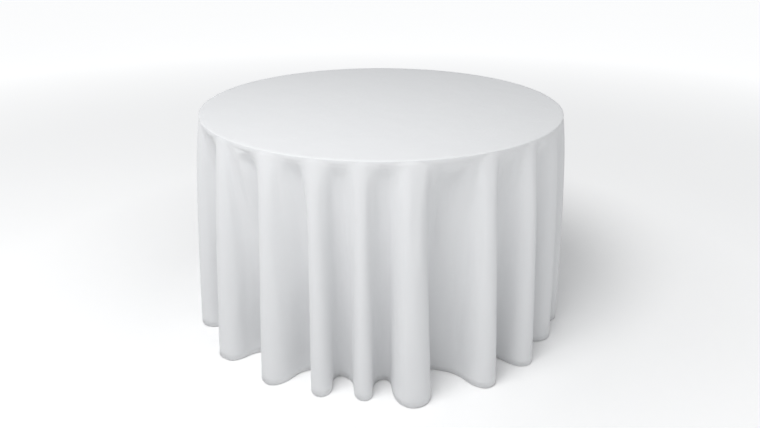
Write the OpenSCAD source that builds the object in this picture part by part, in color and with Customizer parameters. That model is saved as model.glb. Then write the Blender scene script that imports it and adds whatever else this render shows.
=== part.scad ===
// Round folding table with a floor-length round cloth draped over it.
// Millimetres, +Z up, origin on the floor under the middle of the table, -Y is the front.

/* [Table top] */
// Diameter over the edge band
table_d = 1219.2; // [1150:0.1:1260]
// Height of the face of the table above the floor
table_h = 737; // [715:1:762]
// Thickness of the whole top
top_t = 19; // [16:1:22]
// Width of the moulded plastic edge, from the core to the rim
edge_t = 12; // [10:0.5:14]
// Height of the rim, above the undercut of the moulded edge
rim_h = 7; // [6:0.5:8]

/* [Cloth] */
// Radius that the fold crests reach at the hem
crest_r = 684; // [660:1:720]
// Radius that the valleys between the folds draw in to at the hem
valley_r = 545; // [530:1:600]
// Wall of the cloth, measured straight out from the middle
cloth_wall = 4; // [3:0.5:5]
// Thickness of the cloth where it lies on the table
cloth_t = 2; // [1:0.5:3]
// Gap between the hem and the floor
hem_gap = 3; // [2:1:10]
// Width of the turned-up hem
hem_w = 12; // [8:1:20]

/* [Leg frames] */
// Distance from the middle of the table to each leg hinge
hinge_y = 320; // [315:1:325]
// Drop from the underside of the top to the hinge axis
hinge_drop = 30; // [28:1:32]
// Outward lean of the legs, in degrees
leg_lean = 2; // [1:0.5:3]
// Outer diameter of the leg tube
leg_d = 25.4; // [22:0.1:26]
// Wall of the leg tube
leg_wall = 1.6; // [1:0.1:2.5]
// Distance from the middle to each leg of the front frame
front_leg_x = 280; // [276:1:284]
// Distance from the middle to each leg of the back frame
back_leg_x = 235; // [230:1:238]
// Outer diameter of the cross tube between two legs
cross_d = 19; // [16:1:20]

/* [Folding stays] */
// Distance from a leg hinge to both outer pivots of its stay
stay_reach = 250; // [240:1:260]
// Width of the flat stay bar
stay_w = 20; // [16:1:22]
// Thickness of the flat stay bar
stay_t = 5; // [4:0.5:5]
// Radius of the pivot rivets
rivet_r = 4; // [3:0.1:4.5]

/* [Hidden] */
$fn = 64;
eps = 0.01;

table_r = table_d / 2;
laminate_t = 1;
core_t = top_t - 2 * laminate_t;
under_z = table_h - top_t;
hinge_z = under_z - hinge_drop;

// pivot bar, hinge brackets and their fits
shaft_gap = 0.3;
bracket_t = 4;
bracket_base_t = 3;
bracket_ear_gap = 26;
bracket_inset = 36;
screw_head_r = 4.5;
screw_head_h = 2.5;
screw_shank_r = 2;

// rubber feet
foot_wall = 3;
foot_grip = 34;

// stay: two bars that lie in a straight line when the leg stands
cross_reach = stay_reach + 25;
half_angle = (90 + leg_lean) / 2;
stay_l = stay_reach * sin(half_angle);
stay_tilt = 90 - half_angle;
stay_gap = 0.3;
ear_t = 4;
stay_pin_y = hinge_y - stay_reach;

// runners under the top, outside the folded legs
runner_x = 345;
runner_w = 40;
runner_h = 44;
runner_l = 560;
runner_screw_count = 4;

// folds of the cloth: degrees from one crest to the next round half the table, twice
fold_step = [19.6, 17.8, 15, 11.7, 12.6, 21.3, 15.4, 14.4, 10.9, 13.6, 14.5, 13.2];
first_crest = -158.8;
fold_points = 6;
folds = len(fold_step);
cloth_gap = 0.3;
rim_r = table_r + cloth_gap + 0.6 + cloth_wall;
cloth_top = table_h + cloth_gap + cloth_t;
thread_r = 0.6;

// ---------------------------------------------------------------- table top

module disc(r, z, t) {
    translate([0, 0, z]) cylinder(h = t, r = r, $fn = 160);
}

module table_top() {
    color("burlywood") disc(table_r - edge_t, under_z + laminate_t, core_t);
}

module face_laminate() {
    color("whitesmoke") disc(table_r - edge_t, table_h - laminate_t, laminate_t);
}

module backing_laminate() {
    color("tan")
    difference() {
        disc(table_r - edge_t, under_z, laminate_t);
        each_screw_place() cylinder(h = 4 * laminate_t, r = screw_shank_r, center = true, $fn = 24);
    }
}

// moulded edge: a low rounded rim, undercut back to the full thickness of the top
module edge_band() {
    nose_r = 2;
    color("dimgray")
    translate([0, 0, under_z])
    rotate_extrude($fn = 160)
    translate([table_r - edge_t, 0])
    union() {
        polygon([[0, 0], [1, 0], [edge_t, top_t - rim_h], [edge_t, top_t - nose_r],
                 [edge_t - nose_r, top_t], [0, top_t]]);
        translate([edge_t - nose_r, top_t - nose_r]) circle(r = nose_r, $fn = 32);
    }
}

// ---------------------------------------------------------------- screws

// a screw that hangs from the plane z = 0: round head below a plate, shank up through the
// plate and the backing laminate
module screw(plate) {
    translate([0, 0, -plate - screw_head_h])
    cylinder(h = screw_head_h, r = screw_head_r, $fn = 24);
    translate([0, 0, -plate - eps])
    cylinder(h = plate + laminate_t + eps, r = screw_shank_r, $fn = 24);
}

// drilled hole for the same screw
module screw_hole() {
    cylinder(h = 2 * hinge_drop, r = screw_shank_r, center = true, $fn = 24);
}

module hinge_screw_places() {
    for (sy = [-1, 1])
    for (x = sy < 0 ? hinge_bracket_xs(front_leg_x) : hinge_bracket_xs(back_leg_x))
    for (dy = [-1, 1])
    translate([x, sy * hinge_y + dy * 27, under_z]) children();
}

module stay_screw_places() {
    for (sy = [-1, 1])
    for (dx = [-1, 1])
    translate([stay_bracket_x + dx * 16, sy * stay_pin_y, under_z]) children();
}

module runner_screw_places() {
    pitch = runner_l / runner_screw_count;
    for (sx = [-1, 1])
    for (i = [0 : runner_screw_count - 1])
    translate([sx * (runner_x + runner_w / 2), (i - (runner_screw_count - 1) / 2) * pitch, under_z])
    children();
}

module each_screw_place() {
    hinge_screw_places() children();
    stay_screw_places() children();
    runner_screw_places() children();
}

module runner_screws() {
    color("silver") runner_screw_places() screw(runner_h);
}

module hinge_bracket_screws() {
    color("silver") hinge_screw_places() screw(bracket_base_t);
}

module stay_bracket_screws() {
    color("silver") stay_screw_places() screw(bracket_base_t);
}

// ---------------------------------------------------------------- runners

module runner(side) {
    color("peru")
    difference() {
        translate([side > 0 ? runner_x : -runner_x - runner_w, -runner_l / 2, under_z - runner_h])
        cube([runner_w, runner_l, runner_h]);
        runner_screw_places() translate([0, 0, -runner_h / 2])
        cylinder(h = 2 * runner_h, r = screw_shank_r, center = true, $fn = 24);
    }
}

module runner_left() { runner(-1); }
module runner_right() { runner(1); }

// ---------------------------------------------------------------- hinge brackets

function hinge_bracket_xs(leg_x) = [-(leg_x - bracket_inset), leg_x - bracket_inset];

// side view of an ear: square shoulders above, round below, bored for a bar
module ear_outline(reach, r, bore) {
    difference() {
        union() {
            circle(r = r);
            translate([-r, 0]) square([2 * r, reach]);
        }
        circle(r = bore);
    }
}

// an ear that stands across X, from x to x + t
module ear(x, t, reach, r, bore) {
    translate([x, 0, 0])
    rotate([90, 0, 90])
    linear_extrude(height = t) ear_outline(reach, r, bore);
}

module hinge_bracket(x, sy) {
    ear_r = leg_d / 2 + 6;
    color("lightslategray")
    difference() {
        union() {
            translate([x, sy * hinge_y, hinge_z])
            for (s = [-1, 1])
            ear(s * bracket_ear_gap / 2 - bracket_t / 2, bracket_t,
                hinge_drop - bracket_base_t, ear_r, leg_d / 2 + shaft_gap);
            translate([x - 19, sy * hinge_y - 34, under_z - bracket_base_t])
            cube([38, 68, bracket_base_t]);
        }
        hinge_screw_places() screw_hole();
    }
}

module hinge_bracket_front_left() { hinge_bracket(-(front_leg_x - bracket_inset), -1); }
module hinge_bracket_front_right() { hinge_bracket(front_leg_x - bracket_inset, -1); }
module hinge_bracket_back_left() { hinge_bracket(-(back_leg_x - bracket_inset), 1); }
module hinge_bracket_back_right() { hinge_bracket(back_leg_x - bracket_inset, 1); }

// ---------------------------------------------------------------- stay brackets

stay_ear_x = -stay_gap - stay_t - stay_gap - ear_t;
stay_bracket_x = stay_ear_x + ear_t / 2;

// ear, base plate and the half rivet that carries the upper stay bar
module stay_bracket(sy) {
    color("lightslategray")
    translate([0, sy * stay_pin_y, hinge_z])
    difference() {
        union() {
            ear(stay_ear_x, ear_t, hinge_drop - bracket_base_t, 12, rivet_r);
            translate([stay_bracket_x - 24, -14, hinge_drop - bracket_base_t])
            cube([48, 28, bracket_base_t]);
            translate([stay_ear_x - 2, 0, 0]) rotate([0, 90, 0]) cylinder(h = 2, r = rivet_r + 2);
            translate([stay_ear_x - eps, 0, 0]) rotate([0, 90, 0])
            cylinder(h = ear_t + stay_gap + stay_t + eps, r = rivet_r);
        }
        for (dx = [-1, 1]) translate([stay_bracket_x + dx * 16, 0, hinge_drop]) screw_hole();
    }
}

module stay_bracket_front() { stay_bracket(-1); }
module stay_bracket_back() { stay_bracket(1); }

// ---------------------------------------------------------------- leg frames

// places a frame drawn with its hinge axis on X and its legs down -Z
module at_hinge(sy) {
    mirror([0, sy > 0 ? 1 : 0, 0])
    translate([0, -hinge_y, hinge_z])
    rotate([-leg_lean, 0, 0]) children();
}

function leg_length() = hinge_z / cos(leg_lean);

module bar_across(r, l) {
    rotate([0, 90, 0]) cylinder(h = l, r = r, center = true);
}

module tube_across(r, l) {
    difference() {
        bar_across(r, l);
        bar_across(r - leg_wall, l + 2);
    }
}

module pivot_bar(sy, leg_x) {
    color("gray") at_hinge(sy) tube_across(leg_d / 2, 2 * leg_x + leg_d);
}

// leg tube, coped onto the pivot bar and stopped above the floor by its rubber foot
module leg(sy, x) {
    color("gray")
    difference() {
        at_hinge(sy)
        difference() {
            translate([x, 0, -leg_length()]) cylinder(h = leg_length(), r = leg_d / 2);
            translate([x, 0, -leg_length() - 1]) cylinder(h = leg_length() + 2, r = leg_d / 2 - leg_wall);
            bar_across(leg_d / 2, 2 * abs(x) + 2 * leg_d);
        }
        translate([0, 0, -50 + foot_wall + 1]) cube([1500, 1500, 100], center = true);
    }
}

module cross_tube(sy, leg_x) {
    color("gray") at_hinge(sy)
    difference() {
        translate([0, 0, -cross_reach]) tube_across(cross_d / 2, 2 * leg_x);
        for (s = [-1, 1])
        translate([s * leg_x, 0, -leg_length()]) cylinder(h = leg_length(), r = leg_d / 2);
    }
}

// rubber cup on the end of a leg, cut level with the floor
module foot(sy, x) {
    color([0.1, 0.1, 0.1])
    difference() {
        at_hinge(sy)
        translate([x, 0, -leg_length() - 10])
        cylinder(h = 10 + foot_grip, r = leg_d / 2 + foot_wall);
        difference() {
            at_hinge(sy) translate([x, 0, -leg_length() - 10]) cylinder(h = 100, r = leg_d / 2);
            translate([0, 0, -50 + foot_wall + 1]) cube([1500, 1500, 100], center = true);
        }
        translate([0, 0, -50]) cube([1500, 1500, 100], center = true);
    }
}

// tab under the stay, welded to the cross tube, with the half rivet of the lower stay bar
module stay_tab(sy) {
    tab_x = stay_gap + stay_t + stay_gap;
    color("gray") at_hinge(sy)
    difference() {
        union() {
            translate([0, 0, -stay_reach]) rotate([180, 0, 0])
            ear(tab_x, ear_t, cross_reach - stay_reach, 12, rivet_r);
            translate([tab_x + ear_t - eps, 0, -stay_reach]) rotate([0, 90, 0])
            cylinder(h = 2 + eps, r = rivet_r + 2);
            translate([stay_gap, 0, -stay_reach]) rotate([0, 90, 0])
            cylinder(h = tab_x + ear_t - stay_gap, r = rivet_r);
        }
        translate([0, 0, -cross_reach]) bar_across(cross_d / 2, 200);
    }
}

module pivot_bar_front() { pivot_bar(-1, front_leg_x); }
module pivot_bar_back() { pivot_bar(1, back_leg_x); }
module leg_front_left() { leg(-1, -front_leg_x); }
module leg_front_right() { leg(-1, front_leg_x); }
module leg_back_left() { leg(1, -back_leg_x); }
module leg_back_right() { leg(1, back_leg_x); }
module cross_tube_front() { cross_tube(-1, front_leg_x); }
module cross_tube_back() { cross_tube(1, back_leg_x); }
module foot_front_left() { foot(-1, -front_leg_x); }
module foot_front_right() { foot(-1, front_leg_x); }
module foot_back_left() { foot(1, -back_leg_x); }
module foot_back_right() { foot(1, back_leg_x); }
module stay_tab_front() { stay_tab(-1); }
module stay_tab_back() { stay_tab(1); }

// ---------------------------------------------------------------- folding stays

// flat bar from the origin along -Y, bored at the origin, half a knuckle rivet at its far end
module stay_bar(x, rivet_side) {
    end_x = rivet_side < 0 ? x - 2 : x + stay_t - eps;
    translate([x, 0, 0])
    rotate([90, 0, 90])
    linear_extrude(height = stay_t)
    difference() {
        union() {
            circle(r = stay_w / 2);
            translate([-stay_l, 0]) circle(r = stay_w / 2);
            translate([-stay_l, -stay_w / 2]) square([stay_l, stay_w]);
        }
        circle(r = rivet_r + 0.1);
    }
    translate([end_x, -stay_l, 0]) rotate([0, 90, 0]) cylinder(h = 2 + eps, r = rivet_r + 2);
}

module stay_upper(sy) {
    color("darkgray")
    mirror([0, sy > 0 ? 1 : 0, 0])
    translate([0, -stay_pin_y, hinge_z])
    rotate([stay_tilt, 0, 0]) stay_bar(-stay_gap - stay_t, -1);
}

module stay_lower(sy) {
    color("darkgray")
    mirror([0, sy > 0 ? 1 : 0, 0])
    translate([0, -hinge_y, hinge_z])
    rotate([-leg_lean, 0, 0])
    translate([0, 0, -stay_reach])
    rotate([leg_lean + 180 + stay_tilt, 0, 0]) stay_bar(stay_gap, 1);
}

module stay_upper_front() { stay_upper(-1); }
module stay_upper_back() { stay_upper(1); }
module stay_lower_front() { stay_lower(-1); }
module stay_lower_back() { stay_lower(1); }

// ---------------------------------------------------------------- cloth

function sum_to(list, n) = n <= 0 ? 0 : list[n - 1] + sum_to(list, n - 1);

// every column of the skirt: [angle, share of the way from valley to crest]
columns = [
    for (half = [0, 1])
    for (i = [0 : folds - 1])
    for (j = [0 : fold_points - 1])
    let (u = j / fold_points)
    [first_crest + 180 * half + sum_to(fold_step, i) + fold_step[i] * u,
     pow(0.5 + 0.5 * cos(360 * u), 0.65)]
];
column_count = len(columns);

// every row of the skirt from the rim down
skirt_bottom = hem_gap;
skirt_top = under_z - 6;
function fall(z) = (skirt_top - z) / (skirt_top - skirt_bottom);
skirt_rows = [690, 630, 540, 420, 280, 140, hem_gap + hem_w, skirt_bottom];

function crest_at(z) = rim_r + (crest_r - rim_r) * pow(fall(z), 0.67);
function valley_at(z) = rim_r - (rim_r - valley_r) * pow(fall(z), 0.75);

function skirt_ring(z, inset) = [
    for (c = columns)
    let (r = valley_at(z) + (crest_at(z) - valley_at(z)) * c[1] - inset)
    [r * cos(c[0]), r * sin(c[0]), z]
];

function plain_ring(r, z) = [for (c = columns) [r * cos(c[0]), r * sin(c[0]), z]];

function flat_list(lists) = [for (l = lists) for (p = l) p];

// faces from one ring of n points to the next; a band that rises is cut along the same
// diagonal as one that falls, so that the two walls of a thin shell stay parallel
function band(ring, next, n, rises) = [
    for (i = [0 : n - 1])
    let (a = ring * n + i, b = ring * n + (i + 1) % n, c = next * n + i, d = next * n + (i + 1) % n)
    each rises ? [[b, c, a], [b, d, c]] : [[b, d, a], [d, c, a]]
];

module tablecloth() {
    n = column_count;
    outside = concat(
        [plain_ring(rim_r - 8, cloth_top), plain_ring(rim_r - 2, cloth_top - 2), plain_ring(rim_r, cloth_top - 8),
         plain_ring(rim_r, skirt_top)],
        [for (z = skirt_rows) skirt_ring(z, 0)]);
    inside = concat(
        [for (k = [len(skirt_rows) - 1 : -1 : 0]) skirt_ring(skirt_rows[k], cloth_wall)],
        [plain_ring(rim_r - cloth_wall, skirt_top), plain_ring(rim_r - cloth_wall, cloth_top - cloth_t)]);
    rings = concat(outside, inside);
    count = len(rings);
    points = concat(flat_list(rings), [[0, 0, cloth_top], [0, 0, cloth_top - cloth_t]]);
    top_centre = count * n;
    under_centre = top_centre + 1;
    faces = concat(
        flat_list([for (k = [0 : count - 2]) band(k, k + 1, n, k >= len(outside))]),
        [for (i = [0 : n - 1]) [top_centre, (i + 1) % n, i]],
        [for (i = [0 : n - 1]) [under_centre, (count - 1) * n + i, (count - 1) * n + (i + 1) % n]]);
    color("white") polyhedron(points = points, faces = faces);
}

// closed ring of four corners [inset, height] swept round the folds, outer wall first, top to bottom
module swept_ring(corners) {
    rings = [for (c = corners) skirt_ring(c[1], c[0])];
    faces = flat_list([for (k = [0 : 3]) band(k, (k + 1) % 4, column_count, k > 1)]);
    polyhedron(points = flat_list(rings), faces = faces);
}

// the turned-up edge, inside the skirt
module hem_band() {
    near = cloth_wall + 0.2;
    far = near + 2;
    color("white")
    swept_ring([[near, hem_gap + hem_w], [near, hem_gap], [far, hem_gap], [far, hem_gap + hem_w]]);
}

// the line of stitching that holds the hem, just inside its upper edge
module hem_thread() {
    near = cloth_wall + 0.2 + 2 + 0.2;
    z = hem_gap + hem_w - 2;
    color("gainsboro")
    swept_ring([[near, z + thread_r], [near, z - thread_r], [near + 2 * thread_r, z - thread_r],
                [near + 2 * thread_r, z + thread_r]]);
}

// ---------------------------------------------------------------- nodes

table_top();
face_laminate();
backing_laminate();
edge_band();
runner_left();
runner_right();
runner_screws();
hinge_bracket_front_left();
hinge_bracket_front_right();
hinge_bracket_back_left();
hinge_bracket_back_right();
hinge_bracket_screws();
stay_bracket_front();
stay_bracket_back();
stay_bracket_screws();
pivot_bar_front();
leg_front_left();
leg_front_right();
cross_tube_front();
foot_front_left();
foot_front_right();
stay_tab_front();
pivot_bar_back();
leg_back_left();
leg_back_right();
cross_tube_back();
foot_back_left();
foot_back_right();
stay_tab_back();
stay_upper_front();
stay_lower_front();
stay_upper_back();
stay_lower_back();
tablecloth();
hem_band();
hem_thread();
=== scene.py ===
# %% [markdown]
# # A round table under a floor-length cloth
#
# The object is a round folding table with one big circle of white polyester hung over it.
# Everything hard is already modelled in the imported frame, so this lesson loads that frame
# first, keeps its measured box, and then gives each part its finish. The cloth, its hem and
# its stitching are made here, because cloth is the one thing that solid modelling does badly.

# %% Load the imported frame
import math

import bmesh
import bpy
import numpy as np
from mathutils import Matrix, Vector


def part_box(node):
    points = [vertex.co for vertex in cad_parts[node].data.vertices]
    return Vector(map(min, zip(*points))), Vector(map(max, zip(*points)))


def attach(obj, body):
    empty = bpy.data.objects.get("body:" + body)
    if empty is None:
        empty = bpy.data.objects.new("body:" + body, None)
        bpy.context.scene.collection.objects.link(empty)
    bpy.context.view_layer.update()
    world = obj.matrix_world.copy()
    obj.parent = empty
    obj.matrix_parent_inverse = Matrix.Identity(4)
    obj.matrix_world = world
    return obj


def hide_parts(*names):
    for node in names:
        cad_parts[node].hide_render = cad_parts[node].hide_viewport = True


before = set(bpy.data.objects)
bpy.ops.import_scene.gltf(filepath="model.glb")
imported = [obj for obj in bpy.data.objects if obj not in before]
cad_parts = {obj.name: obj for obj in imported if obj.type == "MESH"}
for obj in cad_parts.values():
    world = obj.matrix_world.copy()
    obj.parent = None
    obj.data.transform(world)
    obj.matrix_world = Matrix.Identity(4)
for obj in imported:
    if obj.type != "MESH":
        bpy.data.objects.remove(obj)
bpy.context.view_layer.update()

# %% [markdown]
# ## Camera
#
# A wide lens stands two metres in front of the table and looks down at it. The lens keeps
# its middle in the middle of the view, so no shift is needed, and depth of field is off.

# %% Set the camera
SENSOR_MM = 36.0
LENS_MM = 27.54
EYE = (0.0, -1.9985, 1.2336)
LOOK_DOWN = math.radians(24.844)
LOOK_LEFT = math.radians(0.094)

camera_data = bpy.data.cameras.new("camera")
camera_data.sensor_fit = "HORIZONTAL"
camera_data.sensor_width = SENSOR_MM
camera_data.lens = LENS_MM
camera_data.clip_end = 200.0
camera = bpy.data.objects.new("camera", camera_data)
camera.location = EYE
camera.rotation_euler = (math.pi / 2 - LOOK_DOWN, 0.0, LOOK_LEFT)
bpy.context.collection.objects.link(camera)
bpy.context.scene.camera = camera
print("lens:", round(camera_data.lens, 2), "mm")

# %% [markdown]
# ## Writing shader maths as Python
#
# A node material is a sum, and a sum reads best as a line of Python. The small class below
# wraps one socket. Adding to it or multiplying it adds the Math node for us, and the
# reflected forms make `1 - mask` work too. One method adds any other node: settings first,
# then the values or links of its inputs.

# %% A socket that can be added and multiplied
class Flow:
    """One output socket of a material, with arithmetic."""

    def __init__(self, tree, socket):
        self.tree = tree
        self.socket = socket

    def node(self, kind, settings=None, inputs=None, out=0):
        made = self.tree.nodes.new(kind)
        for name, value in (settings or {}).items():
            if name == "stops":
                fill_ramp(made.color_ramp, value)
            else:
                setattr(made, name, value)
        for name, value in (inputs or {}).items():
            plug(self.tree, made.inputs[name], value)
        return Flow(self.tree, made.outputs[out])

    def maths(self, operation, *values):
        return self.node("ShaderNodeMath", {"operation": operation}, dict(enumerate(values)))

    def __add__(self, other):
        return self.maths("ADD", self, other)

    __radd__ = __add__

    def __sub__(self, other):
        return self.maths("SUBTRACT", self, other)

    def __rsub__(self, other):
        return self.maths("SUBTRACT", other, self)

    def __mul__(self, other):
        return self.maths("MULTIPLY", self, other)

    __rmul__ = __mul__

    def __truediv__(self, other):
        return self.maths("DIVIDE", self, other)

    def sine(self):
        return self.maths("SINE", self)

    def clamp(self):
        return self.node("ShaderNodeClamp", {}, {"Value": self})

    def blend(self, low, high):
        """A colour between low and high."""
        settings = {"data_type": "RGBA"}
        return self.node("ShaderNodeMix", settings, {0: self, 6: low, 7: high}, out=2)


def plug(tree, socket, value):
    if isinstance(value, Flow):
        tree.links.new(value.socket, socket)
    else:
        socket.default_value = value


def fill_ramp(ramp, stops):
    while len(ramp.elements) > 1:
        ramp.elements.remove(ramp.elements[-1])
    ramp.elements[0].position = stops[0][0]
    ramp.elements[0].color = stops[0][1]
    for place, colour in stops[1:]:
        ramp.elements.new(place).color = colour


# %% A new material and its starting coordinates
def new_finish(name, **constant):
    """A Principled material with its constant sockets set, and the flow to build it from."""
    material = bpy.data.materials.new(name)
    material.use_nodes = True
    tree = material.node_tree
    shader = tree.nodes["Principled BSDF"]
    for socket, value in constant.items():
        shader.inputs[socket.replace("_", " ")].default_value = value
    return material, Flow(tree, None), shader


def place_on(flow, way="Object", scale=(1.0, 1.0, 1.0)):
    """Coordinates in metres on the piece, scaled."""
    start = flow.node("ShaderNodeTexCoord", {}, {}, out=way)
    inputs = {"Vector": start, "Scale": scale}
    return flow.node("ShaderNodeMapping", {"vector_type": "POINT"}, inputs)


def noise(flow, where, scale, detail=3.0, roughness=0.5):
    inputs = {"Vector": where, "Scale": scale, "Detail": detail, "Roughness": roughness}
    return flow.node("ShaderNodeTexNoise", {}, inputs)


def bump(flow, height, depth, strength=1.0, below=None):
    inputs = {"Height": height, "Distance": depth, "Strength": strength}
    if below is not None:
        inputs["Normal"] = below
    return flow.node("ShaderNodeBump", {}, inputs)


def finish_with(shader, flow, colour, roughness, normal=None):
    plug(flow.tree, shader.inputs["Base Color"], colour)
    plug(flow.tree, shader.inputs["Roughness"], roughness)
    if normal is not None:
        plug(flow.tree, shader.inputs["Normal"], normal)


print("shader helpers ready")

# %% [markdown]
# ## Cloth
#
# A banquet cloth is a plain weave of spun polyester: matt, a little cool in its white, with
# a faint bloom where light grazes it. The weave follows the threads, so it reads the cloth's
# own flat pattern, which is kept in its UV map in metres. Close up there are threads about
# 0.6 mm apart with thick and thin places, and further off the soft crumple that pressing
# leaves behind.

# %% The cloth's finish
THREAD_PITCH = 0.0006
FULL_TURN = 2 * math.pi


def woven_height(flow, flat, pitch):
    """Height of a plain weave from 0 to 1, over flat coordinates in metres."""
    across = flow.node("ShaderNodeSeparateXYZ", {}, {"Vector": flat})
    along = Flow(flow.tree, across.socket.node.outputs[1])
    warp = (across * (FULL_TURN / 2 / pitch)).sine()
    weft = (along * (FULL_TURN / 2 / pitch)).sine()
    over = warp * weft
    return over * 0.5 + 0.5


def cloth_finish(name, pale, shade, weave_depth):
    material, flow, shader = new_finish(
        name, Specular_IOR_Level=0.25, Sheen_Weight=0.12, Sheen_Roughness=0.45
    )
    flat = place_on(flow, "UV")
    slub_across = noise(flow, place_on(flow, "UV", (900.0, 25.0, 1.0)), 1.0, 2.0)
    slub_along = noise(flow, place_on(flow, "UV", (25.0, 900.0, 1.0)), 1.0, 2.0)
    threads = (slub_across + slub_along) * 0.5
    cloudy = noise(flow, flat, 7.0, 3.0)
    tone = (threads * 0.5 + cloudy * 0.5).clamp()
    crumple = noise(flow, flat, 16.0, 3.0, 0.45)
    weave = woven_height(flow, flat, THREAD_PITCH)
    soft = bump(flow, crumple, 0.002)
    fine = bump(flow, weave + threads * 0.8, weave_depth, 0.8, soft)
    finish_with(shader, flow, tone.blend(shade, pale), threads * 0.16 + 0.72, fine)
    return material


CLOTH_PALE = (0.750, 0.755, 0.762, 1.0)
CLOTH_SHADE = (0.712, 0.718, 0.730, 1.0)
THREAD_PALE = (0.88, 0.88, 0.885, 1.0)
THREAD_SHADE = (0.78, 0.785, 0.80, 1.0)
white_cloth = cloth_finish("white_cloth", CLOTH_PALE, CLOTH_SHADE, 0.00012)


def thread_finish():
    """Twisted polyester sewing thread, with the slight glint of its plies."""
    material, flow, shader = new_finish(
        "sewing_thread", Specular_IOR_Level=0.4, Sheen_Weight=0.2, Sheen_Roughness=0.4
    )
    ply = noise(flow, place_on(flow, "Object", (2600.0, 2600.0, 700.0)), 1.0, 1.0)
    finish_with(shader, flow, ply.blend(THREAD_SHADE, THREAD_PALE), ply * -0.15 + 0.6,
                bump(flow, ply, 0.00008))
    return material


sewing_thread = thread_finish()
print("cloth finishes:", white_cloth.name, sewing_thread.name)

# %% [markdown]
# ## The hard parts of the table
#
# The solid parts have the right shapes already, so each one only gets its finish. The
# patterns read Object coordinates, which are metres in this frame, so a grain line is as
# wide as it is in the workshop. Wood needs lines along the board, steel needs fine
# irregularity in its gloss, and moulded plastic needs a pebbled skin.

# %% Woods and laminates
def wood(name, pale, dark, along, ring_scale, gloss):
    """Grain lines that run along one axis, with pores and slow changes of tone."""
    material, flow, shader = new_finish(name, Specular_IOR_Level=0.4)
    wide = tuple(4.0 if axis == along else ring_scale for axis in "XYZ")
    fine = tuple(9.0 if axis == along else ring_scale * 6 for axis in "XYZ")
    grain = noise(flow, place_on(flow, "Object", wide), 1.0, 5.0, 0.6)
    pores = noise(flow, place_on(flow, "Object", fine), 1.0, 2.0)
    tone = (grain * 1.3 + pores * 0.35 - 0.35).clamp()
    finish_with(shader, flow, tone.blend(dark, pale), pores * 0.2 + gloss,
                bump(flow, grain + pores, 0.0002))
    return material


def sheet_finish(name, pale, dark, speckle, gloss, depth):
    """A hard sheet or moulding with a fine even texture."""
    material, flow, shader = new_finish(name, Specular_IOR_Level=0.45)
    spot = place_on(flow)
    grit = noise(flow, spot, speckle, 2.0)
    slow = noise(flow, spot, 6.0, 3.0)
    tone = (grit * 0.5 + slow * 0.5).clamp()
    finish_with(shader, flow, tone.blend(dark, pale), grit * 0.15 + gloss, bump(flow, grit, depth))
    return material


plywood = wood("birch_plywood", (0.66, 0.48, 0.30, 1.0), (0.45, 0.29, 0.15, 1.0), "X", 38.0, 0.5)
beech = wood("beech", (0.70, 0.47, 0.28, 1.0), (0.50, 0.30, 0.16, 1.0), "Y", 70.0, 0.45)
laminate = sheet_finish("face_laminate_finish", (0.72, 0.70, 0.66, 1.0), (0.64, 0.62, 0.58, 1.0),
                        900.0, 0.32, 0.00003)
kraft = sheet_finish("kraft_backing", (0.30, 0.19, 0.11, 1.0), (0.20, 0.12, 0.07, 1.0),
                     500.0, 0.55, 0.00005)
edging = sheet_finish("moulded_edging", (0.06, 0.055, 0.05, 1.0), (0.035, 0.03, 0.03, 1.0),
                      700.0, 0.42, 0.0001)
rubber = sheet_finish("foot_rubber_finish", (0.045, 0.045, 0.047, 1.0), (0.02, 0.02, 0.022, 1.0),
                      600.0, 0.7, 0.0001)
print("sheet and wood finishes made")


# %% Metals
def metal(name, pale, dark, metallic, gloss, grain_scale, depth, coat):
    """Steel, bare or painted, whose gloss breaks up over its surface."""
    material, flow, shader = new_finish(name, Coat_Weight=coat, Coat_Roughness=0.25)
    shader.inputs["Metallic"].default_value = metallic
    spot = place_on(flow)
    skin = noise(flow, spot, grain_scale, 2.0)
    wear = noise(flow, spot, 22.0, 4.0, 0.65)
    finish_with(shader, flow, wear.blend(dark, pale), wear * 0.25 + skin * 0.1 + gloss,
                bump(flow, skin, depth))
    return material


zinc = metal("zinc_plate", (0.70, 0.71, 0.73, 1.0), (0.50, 0.51, 0.54, 1.0), 1.0, 0.18, 300.0,
             0.00004, 0.0)
coated = metal("powder_coat", (0.30, 0.31, 0.33, 1.0), (0.24, 0.25, 0.27, 1.0), 0.0, 0.32, 1100.0,
               0.00008, 0.15)
print("metal finishes made")


# %% Dress the solid parts
def dress(finish, *nodes):
    for name in nodes:
        piece = bpy.data.objects[name]
        if not piece.material_slots:
            piece.data.materials.append(finish)
        for place in piece.material_slots:
            place.material = finish


ENDS = ("front", "back")
SIDES = ("left", "right")
dress(plywood, "table_top")
dress(laminate, "face_laminate")
dress(kraft, "backing_laminate")
dress(edging, "edge_band")
dress(beech, "runner_left", "runner_right")
dress(zinc, "runner_screws", "hinge_bracket_screws", "stay_bracket_screws")
for end in ENDS:
    dress(zinc, f"stay_bracket_{end}", f"stay_upper_{end}", f"stay_lower_{end}")
    dress(coated, f"pivot_bar_{end}", f"cross_tube_{end}", f"stay_tab_{end}")
    for side in SIDES:
        dress(zinc, f"hinge_bracket_{end}_{side}")
        dress(coated, f"leg_{end}_{side}")
        dress(rubber, f"foot_{end}_{side}")
print("table parts dressed")

# %% [markdown]
# ## Where the cloth hangs
#
# A round cloth over a round table has too much cloth for the space that it hangs in. At the
# hem the cloth is 8.5 m round, and the ring it hangs in is only about 3.9 m round, so it has
# to go in and out in deep folds. The lists say how many degrees lie between one crest and
# the next, starting front left. The solver further down moves each crest a little, so the
# front ones start slightly off and settle into their real places.

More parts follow.
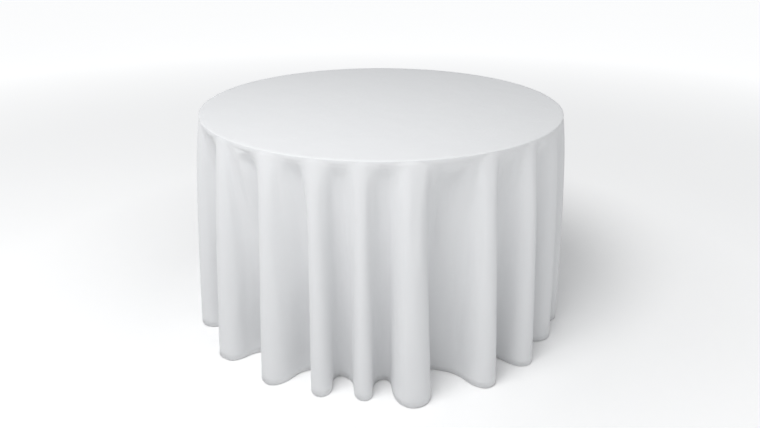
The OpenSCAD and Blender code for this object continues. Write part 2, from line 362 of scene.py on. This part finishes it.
# %% Sizes of the table and the cloth
table_low, table_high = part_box("edge_band")
TABLE_R = table_high[0]
TABLE_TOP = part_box("face_laminate")[1][2]
TABLE_UNDER = table_low[2]
RIM_TALL = 0.007
RIM_UNDER = TABLE_TOP - RIM_TALL
CLOTH_THICK = 0.0008
CLOTH_GAP = 0.0005
CLOTH_REST = CLOTH_GAP + CLOTH_THICK / 2
FLAT_R = 1.350
HEM_OFF_FLOOR = 0.0035

FRONT_STEPS = [20.9, 17.6, 14.2, 11.7, 11.7, 21.9, 15.0, 14.6, 11.4, 13.6, 14.5, 12.9]
BACK_STEPS = [19.6, 17.8, 15.0, 11.7, 12.6, 21.3, 15.4, 14.4, 10.9, 13.6, 14.5, 13.2]
FOLD_STEPS = FRONT_STEPS + BACK_STEPS
FIRST_CREST = -159.1
steps = np.radians(np.array(FOLD_STEPS, float))
crest_angles = np.radians(FIRST_CREST) + np.concatenate([[0.0], np.cumsum(steps)[:-1]])
FOLDS = len(crest_angles)
print("table radius", TABLE_R, "top", TABLE_TOP, "folds", FOLDS)

# %% [markdown]
# ## The flat pattern and its rings
#
# The cloth is a grid of rings and columns. A column runs straight from the middle of the
# cloth to its hem, so its points keep their flat distance from the middle, whatever happens
# to them later. Rings are close together where the cloth rolls over the table's edge and
# where the folds start, and further apart on the plain drop.

# %% Rings and columns of the flat cloth
COLUMNS_PER_FOLD = 30
COLUMNS = FOLDS * COLUMNS_PER_FOLD
ROLL_R = 0.0032
EDGE_R = TABLE_R + CLOTH_REST
ROLL_START = EDGE_R - ROLL_R
ROLL_LENGTH = ROLL_R * math.pi / 2
DROP_START = ROLL_START + ROLL_LENGTH

top_rings = np.array([0.04, 0.12, 0.22, 0.32, 0.42, 0.50, 0.56, 0.595])
roll_rings = ROLL_START + ROLL_LENGTH * np.linspace(0.0, 1.0, 4)
near_edge = [0.0025, 0.005, 0.008, 0.011, 0.015, 0.019, 0.024, 0.030, 0.037, 0.046, 0.058]
plain_drop = np.linspace(0.073, FLAT_R - DROP_START, 30)
drop_rings = DROP_START + np.concatenate([near_edge, plain_drop])
ring_flat = np.concatenate([top_rings, roll_rings, drop_rings])
RINGS = len(ring_flat)
FIRST_ROLL = len(top_rings)
FIRST_DROP = FIRST_ROLL + len(roll_rings)
column_angle = crest_angles[0] + FULL_TURN * np.arange(COLUMNS) / COLUMNS
print("rings", RINGS, "columns", COLUMNS, "quads", (RINGS - 1) * COLUMNS)

# %% [markdown]
# ## One fold, from crest to crest
#
# A strip of cloth that is pushed together bends as little as it can. Its direction then
# swings to and fro like a sine, which is the curve that a slow river makes: gentle waves
# when there is little spare cloth, and round loops with nearly parallel sides when there is
# a lot. Each ring of each fold gets the swing that makes its own cloth fit its own angle.

# %% Bend one ring of one fold
WALK = 240
walk = (np.arange(WALK) + 0.5) / WALK
WIDEST_SWING = 2.4
SWINGS = np.linspace(0.0, WIDEST_SWING, 61)
HALVINGS = 26


def swing_of(full_here, full_there, valley, plain):
    """The way in and the way out of one fold, and the swing out that matches each swing in.

    full_here and full_there widen the two crests, valley moves the valley to one side, and
    a plain below 1 straightens the cloth on its way out.
    """
    turns = [0.0, full_here, valley, 1.0 - full_there, 1.0]
    wave = np.sin(np.interp(walk, turns, FULL_TURN / 4 * np.arange(5)))
    going_in = np.clip(wave, 0.0, None)
    going_out = np.clip(-wave, 0.0, None) ** plain
    depth_in = np.sin(SWINGS[:, None] * going_in).mean(axis=1)
    depth_out = np.sin(SWINGS[:, None] * going_out).mean(axis=1)
    top = int(np.argmax(depth_out)) + 1
    return going_in, going_out, np.interp(depth_in, depth_out[:top], SWINGS[:top])


def walk_fold(length, here, there, swing, size):
    """Angle and radius along a fold of this cloth length for one size of swing."""
    going_in, going_out, match = swing
    direction = size * going_in - np.interp(size, SWINGS, match) * going_out
    step = length / WALK
    inward = np.sin(direction) * step
    radius = here - np.cumsum(inward) + inward / 2
    radius = radius + (there - radius[-1]) * walk
    angle = np.cumsum(np.cos(direction) * step / radius)
    return angle, radius


def bend_fold(length, span, here, there, swing):
    """The fold whose ends are span radians apart."""
    low, high = 0.0, WIDEST_SWING
    for _ in range(HALVINGS):
        middle = (low + high) / 2
        angle, _ = walk_fold(length, here, there, swing, middle)
        if angle[-1] > span:
            low = middle
        else:
            high = middle
    angle, radius = walk_fold(length, here, there, swing, low)
    return angle / angle[-1] * span, radius


plain_swing = swing_of(0.25, 0.25, 0.5, 1.0)
_, check_radius = bend_fold(FLAT_R * 0.24, 0.24, 0.676, 0.676, plain_swing)
print("deepest of a hem fold:", round(float(check_radius.min()), 4))

# %% [markdown]
# ## Hang the cloth
#
# Each crest leans a little outwards on its way down, and no two do it alike. A crest's own
# reach, its fullness and the place of its valley come from short lists, so the result is
# the same on every run. Close under the edge the cloth can't yet fold, because the table's
# rim holds it round, so its spare length is let in slowly over the first few centimetres.

# %% How far out each crest stands
CREST_POWER = 0.67
front_hem = [684, 684, 679, 667, 669, 694, 678, 700, 694, 688, 676, 692]
back_hem = [674, 662, 690, 684, 670, 674, 686, 678, 686, 671, 689, 680]
crest_hem = np.array(front_hem + back_hem, float) / 1000
front_full = [32, 25, 30, 30, 21, 36, 21, 25, 31, 32, 25, 29]
back_full = [26, 31, 24, 29, 27, 23, 32, 26, 30, 25, 28, 27]
crest_full = np.array(front_full + back_full, float) / 100
front_valley = [53, 65, 62, 47, 50, 46, 47, 44, 46, 50, 53, 46]
back_valley = [45, 58, 50, 42, 55, 50, 60, 45, 50, 41, 55, 50]
valley_place = np.array(front_valley + back_valley, float) / 100
front_plain = [100, 100, 100, 100, 100, 73, 100, 86, 100, 90, 100, 80]
back_plain = [90, 100, 75, 100, 85, 100, 80, 100, 90, 75, 100, 90]
way_out = np.array(front_plain + back_plain, float) / 100

DROP = TABLE_TOP + CLOTH_REST - HEM_OFF_FLOOR
SPARE_BY = 0.055
fold_swings = [
    swing_of(crest_full[n], crest_full[(n + 1) % FOLDS], valley_place[n], way_out[n])
    for n in range(FOLDS)
]
print("folds ready to hang:", len(fold_swings))


# %% Hang one ring, then all of them
def ease(part):
    """From 0 to 1 without a corner at either end."""
    part = min(max(part, 0.0), 1.0)
    return part * part * (3 - 2 * part)


def hang_ring(flat_r):
    """Angle and radius of every column of a ring on the drop."""
    path = flat_r - DROP_START
    part = path / (FLAT_R - DROP_START)
    spare = ease(path / SPARE_BY)
    flare = part**CREST_POWER
    angles = np.zeros(COLUMNS)
    radii = np.zeros(COLUMNS)
    since_first = column_angle - crest_angles[0]
    starts = crest_angles - crest_angles[0]
    for fold in range(FOLDS):
        after = (fold + 1) % FOLDS
        here = EDGE_R + (crest_hem[fold] - EDGE_R) * flare
        there = EDGE_R + (crest_hem[after] - EDGE_R) * flare
        span = steps[fold]
        length = span * max(EDGE_R + (flat_r - EDGE_R) * spare, (here + there) / 2)
        angle, radius = bend_fold(length, span, here, there, fold_swings[fold])
        inside = (since_first > starts[fold] - 1e-9) & (since_first < starts[fold] + span - 1e-9)
        t = (since_first[inside] - starts[fold]) / span
        spots = np.concatenate([[0.0], walk + 0.5 / WALK])
        angles[inside] = crest_angles[fold] + np.interp(t, spots, np.concatenate([[0.0], angle]))
        radii[inside] = np.interp(t, spots, np.concatenate([[here], radius]))
    return angles, radii


def hang_cloth():
    """Points of the whole cloth, ring by ring."""
    points = np.zeros((RINGS, COLUMNS, 3))
    level = TABLE_TOP + CLOTH_REST
    for ring in range(RINGS):
        flat_r = ring_flat[ring]
        if ring < FIRST_ROLL:
            angles, radii, z = column_angle, np.full(COLUMNS, flat_r), level
        elif ring < FIRST_DROP:
            turn = (flat_r - ROLL_START) / ROLL_R
            out = ROLL_START + ROLL_R * math.sin(turn)
            angles, radii = column_angle, np.full(COLUMNS, out)
            z = level - ROLL_R * (1 - math.cos(turn))
        else:
            angles, radii = hang_ring(flat_r)
            part = (flat_r - DROP_START) / (FLAT_R - DROP_START)
            z = level - ROLL_R - (DROP - ROLL_R) * part
        points[ring, :, 0] = radii * np.cos(angles)
        points[ring, :, 1] = radii * np.sin(angles)
        points[ring, :, 2] = z
    return points


hung = hang_cloth()
hem_radius = np.hypot(hung[-1, :, 0], hung[-1, :, 1])
print("hem radius from", round(float(hem_radius.min()), 3), "to", round(float(hem_radius.max()), 3))

# %% [markdown]
# ## Keep the cloth off the table and the floor
#
# Close under the edge the valleys dive in below the rim, and they may lean on the moulded
# edge but not pass through it. The rule below sets such points back on its surface. It is
# used twice: on the first shape, and on the settled one.

# %% Clear the edge and the floor
LOWEST = 0.0028
RIM_ROOM = 0.0045
RIM_AIR = 0.0006
BELOW_TOP = 0.002


def clear_of_table(points):
    """Points beside the table's edge stay outside its rim and its undercut."""
    out = points.copy()
    radius = np.hypot(out[:, 0], out[:, 1])
    under_rim = np.clip(RIM_UNDER - RIM_ROOM - out[:, 2], 0.0, None)
    nearest = EDGE_R + RIM_AIR - under_rim
    level = out[:, 2]
    beside = (level > TABLE_UNDER - BELOW_TOP) & (level < TABLE_TOP) & (radius < nearest)
    push = np.where(beside, nearest / np.maximum(radius, 1e-6), 1.0)
    out[:, 0] *= push
    out[:, 1] *= push
    out[:, 2] = np.maximum(out[:, 2], LOWEST)
    return out


print("the rim's underside is at", round(RIM_UNDER, 4))

# %% [markdown]
# ## From points to a mesh
#
# The grid becomes quads, and a fan of triangles closes the middle. The flat pattern goes
# into the UV map in metres, and into a second shape of the mesh, so that the cloth solver
# knows how long each thread really is.

# %% Build the cloth's mesh
def grid_faces():
    """Quads between the rings and triangles at the middle, all facing up and out."""
    column = np.arange(COLUMNS)
    beside = (column + 1) % COLUMNS
    faces = []
    for ring in range(RINGS - 1):
        a = ring * COLUMNS
        b = a + COLUMNS
        quad = np.stack([a + column, b + column, b + beside, a + beside], axis=1)
        faces.extend(quad.tolist())
    centre = RINGS * COLUMNS
    faces.extend([[centre, int(c), int(n)] for c, n in zip(column, beside)])
    return faces


flat_points = np.zeros((RINGS, COLUMNS, 3))
flat_points[:, :, 0] = ring_flat[:, None] * np.cos(column_angle)[None, :]
flat_points[:, :, 1] = ring_flat[:, None] * np.sin(column_angle)[None, :]
flat_points[:, :, 2] = TABLE_TOP + CLOTH_REST
middle_point = np.array([[0.0, 0.0, TABLE_TOP + CLOTH_REST]])
start_points = clear_of_table(np.concatenate([hung.reshape(-1, 3), middle_point]))
pattern_points = np.concatenate([flat_points.reshape(-1, 3), middle_point])

cloth_mesh = bpy.data.meshes.new("draped_cloth")
cloth_mesh.from_pydata(start_points.tolist(), [], grid_faces())
cloth = bpy.data.objects.new("draped_cloth", cloth_mesh)
bpy.context.collection.objects.link(cloth)


def write_pattern(mesh, pattern):
    """Keep the flat cloth, in metres, as the UV map."""
    layer = mesh.uv_layers.new(name="pattern")
    corner = np.zeros(len(mesh.loops), np.int32)
    mesh.loops.foreach_get("vertex_index", corner)
    layer.data.foreach_set("uv", pattern[corner, :2].astype(np.float32).ravel())


write_pattern(cloth_mesh, pattern_points)
cloth_mesh.shade_smooth()
print("cloth quads:", len(cloth_mesh.polygons))

# %% [markdown]
# ## Let it hang
#
# The folds so far are one clean curve each. Real cloth also pulls, sags and pinches where
# the edge of the table gathers it. A short run of the cloth solver adds that. The cloth on
# the table and the first rings under its edge are pinned, every thread wants its flat
# length, and stiff bending keeps the folds round. The result is applied, so nothing live is
# left behind.

# %% Run the cloth solver
SETTLE_FRAMES = 16
HELD_RINGS = 3


def settle(obj, frames):
    """Pin the top, simulate, and give back the points of the last frame."""
    pinned = obj.vertex_groups.new(name="pinned")
    keep = list(range((FIRST_DROP + HELD_RINGS) * COLUMNS)) + [RINGS * COLUMNS]
    pinned.add(keep, 1.0, "REPLACE")
    obj.shape_key_add(name="Basis")
    flat_key = obj.shape_key_add(name="flat")
    flat_key.data.foreach_set("co", pattern_points.astype(np.float32).ravel())
    flat_key.value = 0.0
    solver = obj.modifiers.new("solver", "CLOTH")
    facts = solver.settings
    facts.quality = 6
    facts.mass = 0.3
    facts.tension_stiffness = 60.0
    facts.compression_stiffness = 60.0
    facts.shear_stiffness = 20.0
    facts.bending_stiffness = 40.0
    facts.tension_damping = 15.0
    facts.compression_damping = 15.0
    facts.shear_damping = 10.0
    facts.bending_damping = 0.5
    facts.air_damping = 6.0
    facts.vertex_group_mass = "pinned"
    facts.rest_shape_key = flat_key
    solver.collision_settings.use_collision = False
    solver.collision_settings.use_self_collision = False
    solver.point_cache.frame_start = 1
    solver.point_cache.frame_end = frames
    for number in range(1, frames + 1):
        bpy.context.scene.frame_set(number)
    seen = obj.evaluated_get(bpy.context.evaluated_depsgraph_get()).data
    settled = np.zeros(len(seen.vertices) * 3, np.float32)
    seen.vertices.foreach_get("co", settled)
    obj.modifiers.remove(solver)
    obj.shape_key_clear()
    obj.vertex_groups.remove(pinned)
    bpy.context.scene.frame_set(1)
    return settled.reshape(-1, 3).astype(float)


final_points = settle(cloth, SETTLE_FRAMES)
moved = np.linalg.norm(final_points - start_points, axis=1)
print("moved at most", round(float(moved.max()), 4), "mean", round(float(moved.mean()), 4))

# %% Put the settled points into the mesh
final_points = clear_of_table(final_points)
cloth_mesh.vertices.foreach_set("co", final_points.astype(np.float32).ravel())
cloth_mesh.update()
grid = final_points[:-1].reshape(RINGS, COLUMNS, 3)
cloth_mesh.materials.append(white_cloth)
wall = cloth.modifiers.new("thickness", "SOLIDIFY")
wall.thickness = CLOTH_THICK
wall.offset = 0.0

# %% [markdown]
# ## The turned-up hem
#
# The raw edge of the cloth is rolled to the inside and turned up by 12 mm. On the outside
# that shows as a slightly fuller, rounder edge. The hem is its own strip, laid along the
# inside of the cloth and wrapped round its edge, and it follows every fold because it is
# made from the settled cloth's own last rings.

# %% Points beside the hem
HEM_WIDTH = 0.012
HEM_ROOM = 0.0011
HEM_THICK = 0.0007


def hem_frame():
    """Edge points, the way up the cloth, the way along it, and the way out of it."""
    edge = grid[-1]
    above = grid[-2]
    up = above - edge
    up /= np.linalg.norm(up, axis=1)[:, None]
    along = np.roll(edge, -1, axis=0) - np.roll(edge, 1, axis=0)
    along /= np.linalg.norm(along, axis=1)[:, None]
    out = np.cross(along, up)
    out /= np.linalg.norm(out, axis=1)[:, None]
    return edge, up, along, out


def beside_hem(rise, off):
    """The ring that is rise above the edge and off out of the cloth's middle."""
    edge, up, _, out = hem_frame()
    return edge + up * rise + out * off


hem_low = grid[-1][:, 2]
print("hem height from", round(float(hem_low.min()), 4), "to", round(float(hem_low.max()), 4))

# %% Roll the hem strip round the edge
hem_section = [(0.0006, 0.0002), (-0.0006, 0.0), (-0.0009, -HEM_ROOM / 2), (-0.0005, -HEM_ROOM),
               (0.004, -HEM_ROOM), (0.008, -HEM_ROOM), (HEM_WIDTH, -HEM_ROOM)]
hem_rings = np.stack([beside_hem(rise, off) for rise, off in hem_section])
hem_faces = []
for ring in range(len(hem_section) - 1):
    first = ring * COLUMNS + np.arange(COLUMNS)
    beside = ring * COLUMNS + (np.arange(COLUMNS) + 1) % COLUMNS
    quad = np.stack([first, first + COLUMNS, beside + COLUMNS, beside], axis=1)
    hem_faces.extend(quad.tolist())
hem_mesh = bpy.data.meshes.new("cloth_hem")
hem_mesh.from_pydata(hem_rings.reshape(-1, 3).tolist(), [], hem_faces)
hem_pattern = np.zeros((len(hem_section), COLUMNS, 3))
for ring, (rise, _) in enumerate(hem_section):
    hem_pattern[ring, :, 0] = (FLAT_R + rise) * np.cos(column_angle)
    hem_pattern[ring, :, 1] = (FLAT_R + rise) * np.sin(column_angle)
write_pattern(hem_mesh, hem_pattern.reshape(-1, 3))
hem_mesh.shade_smooth()
hem_mesh.materials.append(white_cloth)
hem = bpy.data.objects.new("cloth_hem", hem_mesh)
bpy.context.collection.objects.link(hem)
hem_wall = hem.modifiers.new("thickness", "SOLIDIFY")
hem_wall.thickness = HEM_THICK
hem_wall.offset = 0.0
print("hem strip quads:", len(hem_mesh.polygons))

# %% [markdown]
# ## The stitching
#
# One row of lock stitches holds the hem, a centimetre above the edge. Each stitch is a tiny
# pillow of thread that dives into the cloth at both ends. There are more than two thousand
# of them, so one stitch has only a few dozen faces.

# %% Sew the hem
STITCH_RISE = 0.010
STITCH_PITCH = 0.0033
STITCH_LONG = 0.0027
THREAD_R = 0.00024
STITCH_SIDES = 5


def even_places(ring, pitch):
    """Column numbers, with fractions, that are one pitch apart along a closed ring."""
    gaps = np.linalg.norm(np.roll(ring, -1, axis=0) - ring, axis=1)
    reach = np.concatenate([[0.0], np.cumsum(gaps)])
    count = int(reach[-1] / pitch)
    wanted = np.arange(count) * reach[-1] / count
    return np.interp(wanted, reach, np.arange(COLUMNS + 1)), reach[-1]


def at_places(values, places):
    """Values of a ring at fractional columns."""
    low = np.floor(places).astype(int) % COLUMNS
    part = (places - np.floor(places))[:, None]
    return values[low] * (1 - part) + values[(low + 1) % COLUMNS] * part


def sew(rise):
    edge, up, along, out = hem_frame()
    seam = edge + up * rise
    places, total = even_places(seam, STITCH_PITCH)
    middle = at_places(seam, places)
    run = at_places(along, places)
    face = at_places(out, places)
    side = np.cross(face, run)
    stations = [(-0.5, 0.45, -0.00005), (-0.22, 1.0, 0.0001),
                (0.22, 1.0, 0.0001), (0.5, 0.45, -0.00005)]
    rings = []
    for reach, thick, lift in stations:
        centre = middle + run * (reach * STITCH_LONG) + face * (CLOTH_THICK / 2 + lift)
        for corner in range(STITCH_SIDES):
            turn = FULL_TURN * corner / STITCH_SIDES
            spoke = face * math.cos(turn) + side * math.sin(turn)
            rings.append(centre + spoke * (THREAD_R * thick))
    points = np.stack(rings, axis=1).reshape(-1, 3)
    one = STITCH_SIDES * len(stations)
    shape = []
    for ring in range(len(stations) - 1):
        for corner in range(STITCH_SIDES):
            a = ring * STITCH_SIDES + corner
            b = ring * STITCH_SIDES + (corner + 1) % STITCH_SIDES
            shape.append([a, a + STITCH_SIDES, b + STITCH_SIDES, b])
    caps = [list(range(STITCH_SIDES)), list(range(one - 1, one - 1 - STITCH_SIDES, -1))]
    faces = []
    for number in range(len(places)):
        faces.extend([[number * one + v for v in face_of] for face_of in shape + caps])
    return points, faces, len(places), total


stitch_points, stitch_faces, stitch_count, seam_length = sew(STITCH_RISE)
stitch_mesh = bpy.data.meshes.new("hem_stitches")
stitch_mesh.from_pydata(stitch_points.tolist(), [], stitch_faces)
stitch_mesh.shade_smooth()
stitch_mesh.materials.append(sewing_thread)
stitches = bpy.data.objects.new("hem_stitches", stitch_mesh)
bpy.context.collection.objects.link(stitches)
stitch_shape = bmesh.new()
stitch_shape.from_mesh(stitch_mesh)
bmesh.ops.recalc_face_normals(stitch_shape, faces=stitch_shape.faces)
stitch_shape.to_mesh(stitch_mesh)
stitch_shape.free()
print("stitches:", stitch_count, "on a seam of", round(seam_length, 3), "m")

# %% [markdown]
# ## Floor and light
#
# A pale floor runs out of sight and a pale sky stands over it. The floor glows a little,
# more with distance, so that it stays pale where the lamps don't reach. A broad soft lamp
# high on the front left gives the top its brightest side, and a weak one low on the right
# opens the shade between the folds.

# %% Floor
bpy.ops.object.select_all(action="DESELECT")
bpy.ops.mesh.primitive_plane_add(size=60.0, location=(0.0, 0.0, 0.0))
floor = bpy.context.object
floor.name = "floor"
floor_paint, floor_flow, floor_shader = new_finish(
    "floor_paint", Specular_IOR_Level=0.2, Emission_Strength=1.0
)
floor_spot = place_on(floor_flow)
floor_tone = noise(floor_flow, floor_spot, 1.5)
finish_with(floor_shader, floor_flow,
            floor_tone.blend((0.94, 0.94, 0.94, 1.0), (0.96, 0.96, 0.96, 1.0)),
            floor_tone * 0.1 + 0.8)
away = floor_flow.node("ShaderNodeVectorMath", {"operation": "LENGTH"}, {0: floor_spot}, out=1)
GLOW_REACH = 8.0
glow_stops = [(0.0, (0.04, 0.04, 0.04, 1.0)), (0.11, (0.06, 0.06, 0.06, 1.0)),
              (0.20, (0.22, 0.22, 0.22, 1.0)), (0.40, (0.34, 0.34, 0.34, 1.0)),
              (0.70, (0.56, 0.56, 0.56, 1.0))]
glow = floor_flow.node("ShaderNodeValToRGB", {"stops": glow_stops}, {"Fac": away / GLOW_REACH})
plug(floor_flow.tree, floor_shader.inputs["Emission Color"], glow)
floor.data.materials.append(floor_paint)

# %% Sky and lamps
world = bpy.data.worlds.new("studio")
world.use_nodes = True
sky = world.node_tree.nodes["Background"]
sky.inputs["Color"].default_value = (0.97, 0.985, 1.0, 1.0)
sky.inputs["Strength"].default_value = 0.44
bpy.context.scene.world = world
bpy.context.scene.view_settings.view_transform = "Standard"


def soft_lamp(name, place, aim, size, watts):
    lamp = bpy.data.lights.new(name, "AREA")
    lamp.shape = "DISK"
    lamp.size = size
    lamp.energy = watts
    holder = bpy.data.objects.new(name, lamp)
    holder.location = place
    away = np.array(aim) - np.array(place)
    flat_away = math.hypot(away[0], away[1])
    holder.rotation_euler = (math.atan2(flat_away, -away[2]), 0.0, math.atan2(-away[0], away[1]))
    bpy.context.collection.objects.link(holder)
    return holder


soft_lamp("key_lamp", (-0.9, -1.45, 3.25), (-0.1, 0.0, 0.6), 1.7, 69.0)
soft_lamp("side_lamp", (2.2, -3.0, 1.7), (0.1, 0.0, 0.4), 2.0, 9.0)
print("lamps:", [thing.name for thing in bpy.data.lights])

# %% [markdown]
# ## Hand the cloth to the frame
#
# The cloth stands for the solid cloth of the frame, and moves with the table top.

# %% Name, ride and replace
for piece in (cloth, hem, stitches):
    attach(piece, "table_top")
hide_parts("tablecloth")
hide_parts("hem_band")
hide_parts("hem_thread")
